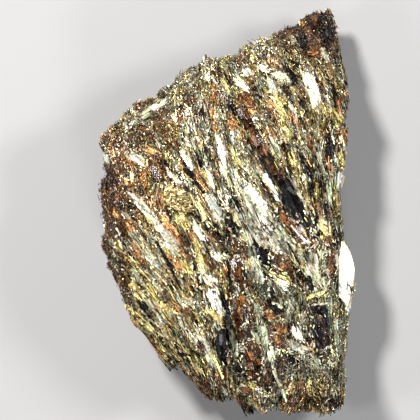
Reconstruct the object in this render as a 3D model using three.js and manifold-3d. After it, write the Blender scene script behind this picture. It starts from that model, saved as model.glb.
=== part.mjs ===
// Astrophyllite hand specimen: one broken piece of intergrown crystal blades that fan out from a corner
// near its foot. It lies on its flatter back. Millimetres, +Z up, the fan opening towards -X and +Y,
// with the origin under the middle of the piece, on the surface that it rests on.
import * as THREE from "three";
import { mergeVertices } from "three/addons/utils/BufferGeometryUtils.js";
import Module from "manifold-3d";

const wasm = await Module();
wasm.setup();

// Driving dimensions, in millimetres.
const crownHeight = 15.6; // the front face above the surface, at its highest
const halfThickness = 7.5; // used only to space points evenly round the section
const sunkBack = 0.9; // how far the back's mean level would lie below the surface that trims it flat
const shoulder = 3.2; // how far in from the outline the front and back faces begin, on average
const footStep = 1.5; // how much lower the face lies beside the fan, at the foot
const fluteDepth = 0.34; // the bundles' ridges and furrows
const coreInset = 0.9; // how far inside the broken surface the core that holds the blades lies
const coreDivisions = 5; // how finely the core is divided
const bladeSpacing = 3.55; // the least distance between the middles of two blades
const placesTried = 3000;
const mostProud = 0; // how far a blade's end may stand out past the broken outline
const bladeSeed = 20;
const fanRoot = { x: 4, y: -32 }; // where the bundles' furrows would meet

// The broken outline seen from the front, anticlockwise from the foot's right corner.
const outline = [
  [12.8, -24.1], [14.0, -21.9], [14.3, -18.2], [14.7, -15.3], [14.4, -12.6], [15.0, -10.2],
  [15.2, -7.2], [14.9, -5.2], [13.9, -2.6], [13.6, 0.6], [13.9, 4.0], [13.7, 6.6],
  [14.2, 10.6], [14.4, 14.4], [13.9, 18.2], [13.3, 23.4], [12.6, 24.2], [11.0, 24.1],
  [8.6, 22.9], [5.6, 21.5], [2.8, 20.2], [0.6, 19.2], [-2.6, 18.4], [-4.6, 16.6],
  [-7.6, 14.0], [-10.6, 13.1], [-12.0, 11.8], [-14.0, 10.0], [-14.4, 7.0], [-14.5, 1.6],
  [-14.3, -5.0], [-13.2, -7.8], [-12.3, -10.2], [-11.0, -12.4], [-9.2, -14.2], [-7.6, -16.2],
  [-5.6, -18.6], [-3.2, -21.0], [-1.4, -21.3], [0.4, -22.6], [3.0, -23.4], [8.6, -23.8],
];

// Sheaves of blades: where each one's heart is, the way its blades run there (0 is +X, 90 is +Y),
// and how far behind the heart their common root lies, which sets how fast they fan apart.
const sheaves = [
  { x: -12.5, y: 1.5, angle: 110, root: 30 },
  { x: -7.5, y: -5.5, angle: 126, root: 27 },
  { x: -7.5, y: -13.5, angle: 124, root: 17 },
  { x: -1.5, y: 3.0, angle: 115, root: 30 },
  { x: -1.2, y: -10.5, angle: 108, root: 18 },
  { x: 3.6, y: -16.5, angle: 91, root: 16 },
  { x: 7.2, y: 4.0, angle: 118, root: 18 },
  { x: 5.4, y: -5.0, angle: 126, root: 24 },
  { x: 14.2, y: 1.5, angle: 91, root: 36 },
  { x: 10.2, y: -14.0, angle: 102, root: 18 },
  { x: -4.2, y: 12.5, angle: 104, root: 34 },
  { x: 4.0, y: 16.0, angle: 120, root: 30 },
  { x: 11.5, y: 20.0, angle: 118, root: 26 },
];
const sheafSpread = 4.2;
const fanDepth = 0.45; // how much of the fan also opens towards the front and the back

// Cracks and hollows between bundles on the front face: a line from one point to another.
const hollows = [
  { from: [-1.5, -6.4], to: [0.2, -21.8], width: 1.1, depth: 2.2 },
  { from: [4.6, 6.6], to: [10.4, -2.6], width: 1.5, depth: 1.6 },
  { from: [-2.6, -1.4], to: [0.9, -2.6], width: 1.6, depth: 1.5 },
  { from: [5.0, -4.6], to: [7.8, -6.6], width: 1.7, depth: 1.4 },
  { from: [11.7, -10.2], to: [11.9, -16.6], width: 1.2, depth: 1.5 },
  { from: [-9.8, -11.4], to: [-6.4, -16.0], width: 0.9, depth: 1.2 },
  { from: [12.4, 17.5], to: [13.0, 8.0], width: 1.3, depth: 1.4 },
];

// The largest crystals of the front face: where each lies, the way it runs, and how far it stands out.
const largeBlades = [
  { name: "edge plate", at: [14.5, -6.5], angle: 92, length: 6.6, width: 2, proud: 0.5, roll: 20 },
  { name: "middle blade", at: [4, 1.3], angle: 117, length: 8, width: 1.7, proud: 0.9, roll: 8 },
  { name: "upper middle blade", at: [5.5, 3], angle: 114, length: 6, width: 1.2, proud: 0.8, roll: -12 },
  { name: "peak blade", at: [10.3, 15.5], angle: 111, length: 5.4, width: 1.5, proud: 0.7, roll: 10 },
  { name: "crest blade", at: [-0.4, 7.7], angle: 101, length: 6, width: 1.3, proud: 0.6, roll: -8 },
  { name: "foot corner blade", at: [7.5, -19.5], angle: 104, length: 6, width: 1.6, proud: 0, roll: 12 },
  { name: "left blade", at: [-7.2, -3.4], angle: 133, length: 8.5, width: 1.4, proud: 0.7, roll: 10 },
  { name: "lower left blade", at: [-8.6, -11.2], angle: 126, length: 8, width: 1.4, proud: 0.7, roll: -14 },
  { name: "crack side blade", at: [-2, -9.6], angle: 113, length: 8, width: 1.4, proud: 0.8, roll: 8 },
  { name: "foot blade", at: [-2.1, -17], angle: 109, length: 6, width: 1, proud: 0.5, roll: -10 },
  { name: "long vein", at: [9, -6.2], angle: 125, length: 9, width: 0.9, proud: 0.5, roll: 0 },
];

// Repeatable random numbers from 0 to 1.
function makeRandom(seed) {
  let state = seed;
  return () => {
    state = (state + 0x6d2b79f5) | 0;
    let mixed = Math.imul(state ^ (state >>> 15), 1 | state);
    mixed = (mixed + Math.imul(mixed ^ (mixed >>> 7), 61 | mixed)) ^ mixed;
    return ((mixed ^ (mixed >>> 14)) >>> 0) / 4294967296;
  };
}
const random = makeRandom(bladeSeed);
const between = (low, high) => low + (high - low) * random();

const { lerp, smoothstep, degToRad: degrees } = THREE.MathUtils;

// Distance from the middle to the outline in the direction of an angle.
function reachAt(angle) {
  const dx = Math.cos(angle);
  const dy = Math.sin(angle);
  let best = 0;
  outline.forEach(([ax, ay], i) => {
    const [bx, by] = outline[(i + 1) % outline.length];
    const ex = bx - ax;
    const ey = by - ay;
    const cross = dx * ey - dy * ex;
    if (Math.abs(cross) < 1e-9) return;
    const along = (ax * ey - ay * ex) / cross;
    const share = (ax * dy - ay * dx) / cross;
    if (along > 0 && share >= 0 && share <= 1) best = Math.max(best, along);
  });
  return best;
}

// A half section from the rim to a face's middle: corners of [insets in shoulders, share of the height].
const sectionCorners = [[0, 0], [0.1, 0.42], [0.42, 0.78], [1, 0.96]];

// The point [distance from the middle, share of the height] a share of the way along a half section.
function sectionAt(reach, inset, share) {
  const corners = [...sectionCorners.map(([steps, up]) => [reach - steps * inset, up]), [0, 1]];
  const lengths = corners.slice(1).map(([out, up], i) => {
    return Math.hypot(out - corners[i][0], (up - corners[i][1]) * halfThickness);
  });
  let left = share * lengths.reduce((sum, length) => sum + length, 0);
  const i = lengths.findIndex((length) => {
    if (left <= length) return true;
    left -= length;
    return false;
  });
  if (i < 0) return corners.at(-1);
  return corners[i].map((value, axis) => lerp(value, corners[i + 1][axis], left / lengths[i]));
}

function distanceToLine(x, y, [ax, ay], [bx, by]) {
  const along = ((x - ax) * (bx - ax) + (y - ay) * (by - ay)) / ((bx - ax) ** 2 + (by - ay) ** 2);
  const share = THREE.MathUtils.clamp(along, 0, 1);
  return Math.hypot(x - lerp(ax, bx, share), y - lerp(ay, by, share));
}

// Ridges and furrows that run out from the fan's root, from -1 to 1.
function fluteAt(x, y) {
  const bearing = Math.atan2(x - fanRoot.x, y - fanRoot.y);
  return Math.sin(58 * bearing + 1.6 * Math.sin(17 * bearing) + 0.05 * y);
}

// Broken ledges: a height or a reach drawn partly to the nearest step.
function ledge(value, step) {
  return lerp(value, Math.round(value / step) * step, 0.7);
}

function frontHeight(x, y) {
  const crown = crownHeight - 0.012 * (x + 3) ** 2 - 0.0042 * (y + 3) ** 2;
  const foot = smoothstep(x, -2.5, 0.5) * (1 - smoothstep(y, -7, -2));
  const waves = 0.4 * Math.sin(0.55 * x + 0.3 * y + 1) + 0.3 * Math.sin(0.8 * x - 0.25 * y);
  const face = ledge(crown - footStep * foot + waves + fluteDepth * fluteAt(x, y), 0.8);
  return hollows.reduce((height, { from, to, width, depth }) => {
    return height - depth * Math.exp(-((distanceToLine(x, y, from, to) / width) ** 2));
  }, face);
}

function backHeight(x, y) {
  const dish = 0.007 * (x - 1) ** 2 + 0.003 * (y + 1) ** 2;
  const waves = 0.8 * Math.sin(0.45 * x + 1.4) * Math.sin(0.36 * y + 0.6);
  return dish - sunkBack + waves + 0.6 * fluteDepth * fluteAt(x, y);
}

// A point of the broken body's surface in the direction of a unit vector from its middle.
function bodyPoint(direction) {
  const angle = Math.atan2(direction.y, direction.x);
  const latitude = Math.asin(THREE.MathUtils.clamp(direction.z, -1, 1)) / (Math.PI / 2);
  const fullReach = reachAt(angle);
  const flute = fluteAt(fullReach * Math.cos(angle), fullReach * Math.sin(angle));
  const inset = shoulder + 1.3 * Math.sin(3 * angle + 1) + 0.8 * Math.sin(7 * angle);
  const [reach, up] = sectionAt(fullReach + 0.2 * flute, inset, Math.abs(latitude));
  const x = reach * Math.cos(angle);
  const y = reach * Math.sin(angle);
  const rimShare = 0.5 + 0.12 * Math.sin(2 * angle + 0.7) + 0.07 * Math.sin(5 * angle);
  const level = latitude < 0 ? rimShare * (1 - up) : lerp(rimShare, 1, up);
  const roughness = 0.16 * Math.sin(2.9 * x + 1.7 * y) * Math.sin(2.3 * y - 1.1 * x);
  return new THREE.Vector3(x, y, lerp(backHeight(x, y), frontHeight(x, y), level) + roughness);
}

// The way the blades run at a point: away from the roots of the sheaves around it.
function grainAt(point) {
  const grain = new THREE.Vector3();
  sheaves.forEach(({ x, y, angle, root }) => {
    const turn = degrees(angle);
    const away = new THREE.Vector3(
      point.x - x + root * Math.cos(turn),
      point.y - y + root * Math.sin(turn),
      (point.z - crownHeight / 2) * fanDepth,
    );
    const distance = Math.hypot(point.x - x, point.y - y);
    grain.addScaledVector(away.normalize(), Math.exp(-((distance / sheafSpread) ** 2)) + 1e-6);
  });
  return grain.normalize();
}

// A closed three.js mesh as a manifold-3d solid.
function toSolid(geometry) {
  const bare = geometry.clone();
  bare.deleteAttribute("normal");
  bare.deleteAttribute("uv");
  const merged = mergeVertices(bare, 1e-4);
  return new wasm.Manifold(
    new wasm.Mesh({
      numProp: 3,
      vertProperties: new Float32Array(merged.attributes.position.array),
      triVerts: new Uint32Array(merged.index.array),
    }),
  );
}

function toGeometry(solid) {
  const { numProp, vertProperties, triVerts } = solid.getMesh();
  const positions = new Float32Array((vertProperties.length / numProp) * 3);
  for (let i = 0; i < positions.length / 3; i++) {
    positions.set(vertProperties.subarray(i * numProp, i * numProp + 3), i * 3);
  }
  const geometry = new THREE.BufferGeometry();
  geometry.setAttribute("position", new THREE.BufferAttribute(positions, 3));
  geometry.setIndex(new THREE.BufferAttribute(new Uint32Array(triVerts), 1));
  geometry.computeVertexNormals();
  return geometry;
}

// The mass inside, a little smaller than the broken surface except at the back, which is bare.
function core() {
  const geometry = new THREE.IcosahedronGeometry(1, coreDivisions);
  const position = geometry.attributes.position;
  const corner = new THREE.Vector3();
  for (let i = 0; i < position.count; i++) {
    const direction = corner.fromBufferAttribute(position, i).normalize().clone();
    corner.copy(bodyPoint(direction));
    corner.addScaledVector(outwardAt(direction), -coreInset * smoothstep(direction.z, -0.8, -0.5));
    position.setXYZ(i, corner.x, corner.y, corner.z);
  }
  return toSolid(geometry);
}

// One crystal blade: a lath along +X with flat faces up and down, and a slanting tip that thins to a chisel.
function bladeGeometry(length, width, depth) {
  const half = length / 2;
  const tip = between(0.15, 0.35) * length;
  const shape = new THREE.Shape([
    new THREE.Vector2(-half, -width * 0.3),
    new THREE.Vector2(half - tip, -width * 0.5),
    new THREE.Vector2(half, width * between(-0.35, 0.2)),
    new THREE.Vector2(half - tip * between(0.3, 0.8), width * 0.5),
    new THREE.Vector2(-half, width * 0.35),
  ]);
  const blade = new THREE.ExtrudeGeometry(shape, { depth, bevelEnabled: false });
  blade.translate(0, 0, -depth / 2);
  const position = blade.attributes.position;
  for (let i = 0; i < position.count; i++) {
    const thinning = lerp(1, 0.35, smoothstep(position.getX(i), half - tip, half));
    position.setZ(i, position.getZ(i) * thinning);
  }
  return blade;
}

// A turn that lays +X along the grain and +Z along the surface's outward side, rolled about the grain.
function bladeTurn(grain, outward, roll) {
  const side = new THREE.Vector3().crossVectors(outward, grain).normalize();
  const up = new THREE.Vector3().crossVectors(grain, side).normalize();
  const basis = new THREE.Matrix4().makeBasis(grain, side, up);
  return basis.multiply(new THREE.Matrix4().makeRotationX(roll));
}

function outwardAt(direction) {
  const step = 0.05;
  const near = new THREE.Vector3(direction.y, -direction.x, 0.01).normalize();
  const far = new THREE.Vector3().crossVectors(direction, near).normalize();
  const [here, one, other] = [new THREE.Vector3(), near, far].map((offset) => {
    return bodyPoint(direction.clone().addScaledVector(offset, step).normalize());
  });
  const outward = one.sub(here).cross(other.sub(here)).normalize();
  const fromMiddle = here.clone().sub(new THREE.Vector3(0, 0, crownHeight / 2));
  return outward.dot(fromMiddle) < 0 ? outward.negate() : outward;
}

// Directions spread evenly over the ball, by the golden angle.
function spreadDirection(i, count) {
  const z = 1 - (2 * (i + 0.5)) / count;
  const turn = i * Math.PI * (3 - Math.sqrt(5));
  const ring = Math.sqrt(1 - z * z);
  return new THREE.Vector3(ring * Math.cos(turn), ring * Math.sin(turn), z);
}

// How far a point lies outside the broken outline, seen from the front.
function outsideBy(point) {
  return Math.hypot(point.x, point.y) - reachAt(Math.atan2(point.y, point.x));
}

// A blade in its place, slid back along itself where an end would pass the broken outline.
function placedBlade({ middle, along, outward, roll, length, width, depth }) {
  for (const end of [1, -1]) {
    const tip = middle.clone().addScaledVector(along, (end * length) / 2);
    middle.addScaledVector(along, -end * Math.max(0, outsideBy(tip) - mostProud));
  }
  const blade = bladeGeometry(length, width, depth).applyMatrix4(bladeTurn(along, outward, degrees(roll)));
  return toSolid(blade.translate(middle.x, middle.y, middle.z));
}

// Places on the broken surface at least a spacing apart, taken in a scattered order.
function scatteredPlaces() {
  const places = [];
  for (let i = 0; i < placesTried; i++) {
    const direction = spreadDirection((i * 1597) % placesTried, placesTried);
    const point = bodyPoint(direction);
    const clear = places.every((place) => place.point.distanceTo(point) > bladeSpacing);
    if (clear) places.push({ direction, point });
  }
  return places;
}

// Blades that cover the core: laid along the surface where it follows the grain, stubs where it cuts it.
function coveringBlades() {
  const covered = scatteredPlaces().filter(({ direction }) => direction.z > -0.72); // the back stays flat
  return covered.map(({ direction, point }) => {
    const outward = outwardAt(direction);
    const grain = grainAt(point);
    const endOn = grain.dot(outward) ** 2;
    const length = lerp(between(6, 12), 5, endOn);
    const width = lerp(between(1.5, 2.8), between(3.2, 4.8), endOn);
    const depth = lerp(between(1.2, 2), between(2.2, 3.6), endOn);
    const lean = lerp(0.12, 1, endOn); // how far the blade turns from the surface to the grain
    const along = grain.clone().addScaledVector(outward, (lean - 1) * grain.dot(outward)).normalize();
    const buried = lerp(depth / 2, length / 2, endOn) - between(-0.35, 0.45);
    const middle = point.clone().addScaledVector(outward, -buried);
    return placedBlade({ middle, along, outward, roll: between(-34, 34), length, width, depth });
  });
}

// The direction from the body's middle whose surface point lies over a place on the front face.
function directionOver([x, y]) {
  let low = 0;
  let high = Math.PI / 2;
  const towards = (rise) => {
    return new THREE.Vector3(x, y, Math.hypot(x, y) * Math.tan(rise)).normalize();
  };
  for (let i = 0; i < 20; i++) {
    const rise = (low + high) / 2;
    const point = bodyPoint(towards(rise));
    if (Math.hypot(point.x, point.y) > Math.hypot(x, y)) low = rise;
    else high = rise;
  }
  return towards(low);
}

function frontBlades() {
  return largeBlades.map(({ at, angle, length, width, proud, roll }) => {
    const direction = directionOver(at);
    const outward = outwardAt(direction);
    const along = new THREE.Vector3(Math.cos(degrees(angle)), Math.sin(degrees(angle)), 0);
    along.addScaledVector(outward, -along.dot(outward)).normalize();
    const depth = width * 0.75;
    const middle = bodyPoint(direction).addScaledVector(outward, proud - depth / 2);
    return placedBlade({ middle, along, outward, roll, length, width, depth });
  });
}

function groundCut() {
  return toSolid(new THREE.BoxGeometry(80, 80, 10).translate(0, 0, -5));
}

// The outer shell alone, which fills any pocket that crossing blades have sealed.
function withoutPockets(solid) {
  return solid.decompose().reduce((largest, shell) => (shell.volume() > largest.volume() ? shell : largest));
}

const blades = [...coveringBlades(), ...frontBlades()];
const fused = blades.reduce((mass, blade) => mass.add(blade), core());
const stone = withoutPockets(fused.subtract(groundCut()));

const geometry = toGeometry(stone);
geometry.computeBoundingBox();
const middle = geometry.boundingBox.getCenter(new THREE.Vector3());
geometry.translate(-middle.x, -middle.y, -geometry.boundingBox.min.z);

const bronze = new THREE.MeshStandardMaterial({ color: 0x8a6a3c, roughness: 0.35, metalness: 0.6 });
const crystalMass = new THREE.Mesh(geometry, bronze);
crystalMass.name = "crystal_mass";

const specimen = new THREE.Group();
specimen.add(crystalMass);

export default specimen;
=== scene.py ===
# Astrophyllite hand specimen, lying on its back: crystal blades that fan out from the foot,
# in gold, bronze, rust, silver, dark and grey-green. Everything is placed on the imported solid.
import math
import bmesh
import bpy
import numpy as np
from mathutils import Matrix, Vector
from mathutils.bvhtree import BVHTree
from mathutils.kdtree import KDTree


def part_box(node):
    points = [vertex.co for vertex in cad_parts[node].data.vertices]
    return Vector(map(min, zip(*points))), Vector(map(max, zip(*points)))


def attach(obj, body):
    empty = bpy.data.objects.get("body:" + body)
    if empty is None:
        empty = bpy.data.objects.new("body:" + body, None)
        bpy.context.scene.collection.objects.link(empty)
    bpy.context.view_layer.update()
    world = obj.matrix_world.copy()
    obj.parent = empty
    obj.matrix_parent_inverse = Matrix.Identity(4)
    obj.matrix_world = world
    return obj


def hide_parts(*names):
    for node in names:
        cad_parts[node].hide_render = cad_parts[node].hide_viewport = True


mm = 0.001  # the numbers below are in mm, unless a comment says otherwise
tiny = 1e-6

print("stage: frame")
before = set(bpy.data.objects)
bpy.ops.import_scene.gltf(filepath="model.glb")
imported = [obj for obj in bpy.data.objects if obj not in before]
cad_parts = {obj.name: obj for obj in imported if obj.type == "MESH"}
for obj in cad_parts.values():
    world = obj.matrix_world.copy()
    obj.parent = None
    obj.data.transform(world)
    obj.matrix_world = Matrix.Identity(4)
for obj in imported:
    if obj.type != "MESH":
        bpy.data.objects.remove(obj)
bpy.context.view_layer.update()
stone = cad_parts["crystal_mass"]
lowCorner, highCorner = (np.array(corner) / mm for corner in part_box("crystal_mass"))
centre = (lowCorner + highCorner) / 2
random = np.random.default_rng(11)

studio = {
    "floorSize": 900, "floorColour": (0.26, 0.26, 0.265), "floorRough": 0.8, "world": 0.04,
    "lights": [
        {"name": "key", "at": (-150, 190, 290), "size": 60, "watts": 3.1, "colour": (1, 0.98, 0.94)},
        {"name": "side", "at": (240, 60, 230), "size": 80, "watts": 1.0, "colour": (1, 1, 1)},
        {"name": "fill", "at": (-240, -60, 210), "size": 90, "watts": 0.45, "colour": (0.97, 0.98, 1)},
        {"name": "front", "at": (60, -260, 210), "size": 90, "watts": 0.55, "colour": (1, 0.98, 0.95)},
    ],
    "sensor": 36, "viewHeight": 600, "clipStart": 10, "fieldWidth": 50.4,
    "frameMiddle": (-1.8, 0.48), "focusHeight": 8,
}
upward = np.array([0, 0, 1])
keyLight = np.array(studio["lights"][0]["at"], float)
glance = keyLight / np.linalg.norm(keyLight) + upward
glance /= np.linalg.norm(glance)  # a face turned this way throws the key light straight up


def part(blades, chosen):
    return {key: value[chosen] for key, value in blades.items()}


def spread(count, low, high, power=1.0):
    return low + (high - low) * random.random(count) ** power


def around(count, reach):
    # numbers spread evenly around 0
    return (random.random(count) - 0.5) * reach


def unit(vectors):
    return vectors / np.maximum(np.linalg.norm(vectors, axis=1, keepdims=True), 1e-9)


def dots(first, second):
    return (first * second).sum(axis=1)


# the run of the blades. Each sheaf: x and y of its middle, the way its blades run (degrees) and how far
# behind its middle they meet; "fanDepth" is how far the fan also opens to the front and the back
fan = {"spread": 4.2, "fanDepth": 0.45, "sheaves": [
    (-12.5, 1.5, 110, 30), (-7.5, -5.5, 126, 27), (-7.5, -13.5, 124, 17), (-1.5, 3.0, 115, 30),
    (-1.2, -10.5, 108, 18), (3.6, -16.5, 91, 16), (7.2, 4.0, 118, 18), (5.4, -5.0, 126, 24),
    (14.2, 1.5, 91, 36), (10.2, -14.0, 102, 18), (-4.2, 12.5, 104, 34), (4.0, 16.0, 120, 30),
    (11.5, 20.0, 118, 26),
]}


def grainAt(points):
    # the way the blades run at each point, as unit vectors
    grain = np.zeros_like(points)
    for x, y, angle, root in fan["sheaves"]:
        turn = math.radians(angle)
        away = points - [x - root * math.cos(turn), y - root * math.sin(turn), centre[2]]
        away[:, 2] *= fan["fanDepth"]
        near = np.exp(-((points[:, 0] - x) ** 2 + (points[:, 1] - y) ** 2) / fan["spread"] ** 2) + tiny
        grain += unit(away) * near[:, None]
    return unit(grain)


# A stroke is a line from one point to another, seen from above, with a width: x, y, x, y, width.

def endsOf(stroke):
    return np.array(stroke[:2], float), np.array(stroke[2:4], float)


def widthOf(stroke):
    return stroke[4]


def distanceTo(points, stroke):
    # how far each point lies from the line of a stroke
    start, end = endsOf(stroke)
    line = end - start
    share = np.clip((points[:, :2] - start) @ line / (line @ line), 0, 1)
    return np.linalg.norm(points[:, :2] - start - share[:, None] * line, axis=1)


def nearness(points, stroke):
    # 1 on the stroke, falling to 0 past its width
    return np.exp(-((distanceTo(points, stroke) / widthOf(stroke)) ** 4))


finishes = ["dark", "amber", "rust", "bronze", "gold", "silver", "green", "cream", "pearl", "glass"]
faceSplit = 5.5  # the height where the front face gives way to the sides and back
everywhere = {"grains": 0.2, "mix": {"dark": 0.19, "amber": 0.06, "rust": 0.13, "bronze": 0.18, "gold": 0.18,
                                     "silver": 0.2, "green": 0.06}}

# a zone is a broad stroke with its mix of finishes, how strongly it rules, how far its blades are broken down
# to grains (0 to 1), and how much their tone is shifted: a change of colour, and on the left rim painted
# shade
zones = {
    "left grains": {"stroke": (-12.5, 9, -13, -5, 4.6), "rule": 3, "grains": 1, "tone": 0.06,
        "mix": {"rust": 0.46, "amber": 0.1, "bronze": 0.12, "dark": 0.06, "silver": 0.16, "gold": 0.1}},
    # the left rim is darkened as painted shade: its slope faces the key light but is meant to read as shaded
    "left rim": {"stroke": (-15.3, 5, -12.5, -11, 2.1), "rule": 6, "grains": 0.9, "tone": -0.24,
        "mix": {"rust": 0.3, "amber": 0.36, "bronze": 0.06, "dark": 0.24, "silver": 0.04}},
    "corner grains": {"stroke": (-10, 11, -1, 12, 3.6), "rule": 3, "grains": 1,
        "mix": {"rust": 0.26, "bronze": 0.14, "dark": 0.04, "silver": 0.3, "cream": 0.1, "gold": 0.16}},
    "crown": {"stroke": (-3.4, 13, -2, 8, 1.8), "rule": 2, "grains": 0.7,
        "mix": {"silver": 0.28, "cream": 0.16, "gold": 0.18, "rust": 0.22, "bronze": 0.1, "dark": 0.06}},
    "top edge": {"stroke": (-8, 14, 4, 20, 1.6), "rule": 3, "grains": 0.7,
        "mix": {"gold": 0.28, "silver": 0.34, "bronze": 0.14, "green": 0.1, "dark": 0.14}},
    "upper grains": {"stroke": (0, 16, 9, 17, 2.6), "rule": 2, "grains": 0.8,
        "mix": {"bronze": 0.16, "silver": 0.3, "gold": 0.3, "rust": 0.12, "dark": 0.12}},
    "under the peak": {"stroke": (6, 18.4, 11, 18.6, 1.8), "rule": 3, "grains": 0.8,
        "mix": {"bronze": 0.18, "rust": 0.2, "silver": 0.28, "gold": 0.26, "dark": 0.08}},
    "peak": {"stroke": (8, 22.4, 12.6, 22, 2.2), "rule": 7, "grains": 0.9, "tone": -0.16,
        "mix": {"dark": 0.34, "amber": 0.34, "rust": 0.22, "bronze": 0.06, "gold": 0.04}},
    "right edge": {"stroke": (13.8, 17, 13.8, 1, 1.8), "rule": 3, "grains": 0.5,
        "mix": {"dark": 0.1, "rust": 0.16, "amber": 0.04, "bronze": 0.12, "gold": 0.22, "silver": 0.36}},
    "right lens": {"stroke": (11.2, -4, 12.6, -10.4, 1.8), "rule": 4, "grains": 0.5, "tone": 0.12,
        "mix": {"silver": 0.3, "cream": 0.2, "gold": 0.18, "green": 0.16, "dark": 0.1, "amber": 0.06}},
    "white ridge": {"stroke": (3.4, 0.4, 6.6, -4.4, 1.5), "rule": 4, "grains": 0.2,
        "mix": {"silver": 0.3, "cream": 0.4, "green": 0.12, "gold": 0.1, "dark": 0.05, "rust": 0.03}},
    "lower right": {"stroke": (12.4, -8, 13.4, -20, 2.2), "rule": 3, "grains": 0.7, "tone": 0.06,
        "mix": {"silver": 0.24, "cream": 0.16, "green": 0.32, "gold": 0.16, "dark": 0.12}},
    "pale middle": {"stroke": (-1.5, 9, 2, -1, 3), "rule": 3, "grains": 0.1,
        "mix": {"silver": 0.3, "cream": 0.2, "gold": 0.14, "bronze": 0.08, "dark": 0.12, "green": 0.16}},
    "lower left": {"stroke": (-9.5, -5, -5, -14, 3.4), "rule": 3, "grains": 0.15, "tone": 0.04,
        "mix": {"gold": 0.24, "silver": 0.26, "green": 0.1, "bronze": 0.1, "dark": 0.15, "rust": 0.15}},
    "upper right": {"stroke": (5, 10, 11, 6, 3), "rule": 2, "grains": 0.3,
        "mix": {"rust": 0.16, "dark": 0.18, "bronze": 0.14, "silver": 0.36, "gold": 0.16}},
    "middle foot": {"stroke": (3, -4, 3, -14, 3), "rule": 3, "grains": 0.5, "tone": -0.08,
        "mix": {"dark": 0.14, "amber": 0.2, "rust": 0.08, "bronze": 0.14, "green": 0.18, "silver": 0.16,
                "gold": 0.1}},
    "foot": {"stroke": (6, -12, 8, -21, 4.6), "rule": 3, "grains": 0.7, "tone": 0.05,
        "mix": {"green": 0.44, "dark": 0.07, "amber": 0.08, "bronze": 0.06, "silver": 0.14, "cream": 0.12,
                "gold": 0.09}},
    "foot windows": {"stroke": (4.2, -14.5, 4.2, -20, 1.8), "rule": 3, "grains": 0.6, "tone": -0.12,
        "mix": {"amber": 0.3, "dark": 0.22, "bronze": 0.14, "green": 0.16, "gold": 0.1, "rust": 0.08}},
    "foot corner": {"stroke": (9, -18.5, 13.5, -19.5, 2.6), "rule": 4, "grains": 1, "tone": 0.06,
        "mix": {"green": 0.5, "silver": 0.16, "cream": 0.18, "dark": 0.08, "bronze": 0.05, "amber": 0.03}},
    "amber base": {"stroke": (8.4, -21.8, 13.6, -22.8, 1.9), "rule": 5, "grains": 0.6,
        "mix": {"amber": 0.26, "rust": 0.12, "bronze": 0.34, "gold": 0.2, "dark": 0.08}},
    "lower right edge": {"stroke": (14, -12, 14, -18, 1.4), "rule": 4, "grains": 0.9,
        "mix": {"cream": 0.4, "silver": 0.14, "gold": 0.24, "green": 0.1, "bronze": 0.06, "dark": 0.06}},
}

# where the borders of the zones start to sway, over what height and how far, and their waves along x and y:
# radians per mm of height and of the other direction, and the start
zoneSway = {"below": 7.5, "over": 3, "reach": 1.8, "x": (0.9, 0.5, 0), "y": (1.1, 0.4, 1.7)}


def swayed(points):
    # lower down the sides, the borders of the zones sway instead of running straight down
    x, y, z = points.T
    low = np.clip((zoneSway["below"] - z) / zoneSway["over"], 0, 1) * zoneSway["reach"]
    waves = [np.sin(along * z + across * other + start)
             for (along, across, start), other in ((zoneSway["x"], y), (zoneSway["y"], x))]
    return points + np.stack([low * waves[0], low * waves[1], 0 * z], axis=1)


def zoneBlend(points, valuesOf):
    # the values of the whole stone, pulled at each point to those of the zones that it lies in
    blend = np.tile(valuesOf(everywhere), (len(points), 1))
    points = swayed(points)
    for zone in zones.values():
        share = nearness(points, zone["stroke"])[:, None] * zone["rule"]
        blend = (blend + share * valuesOf(zone)) / (1 + share)
    return blend


def grainsAt(points):
    return zoneBlend(points, lambda zone: [zone["grains"]])[:, 0]


def toneAndPaintedShadeAt(points):
    return zoneBlend(points, lambda zone: [zone.get("tone", 0.0)])[:, 0]


def pickFinish(points):
    weights = zoneBlend(points, lambda zone: [zone["mix"].get(name, 0) for name in finishes])
    steps = np.cumsum(weights, axis=1)
    past = random.random(len(points))[:, None] * steps[:, -1:] > steps
    return past.sum(axis=1).clip(0, len(finishes) - 1)


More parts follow.
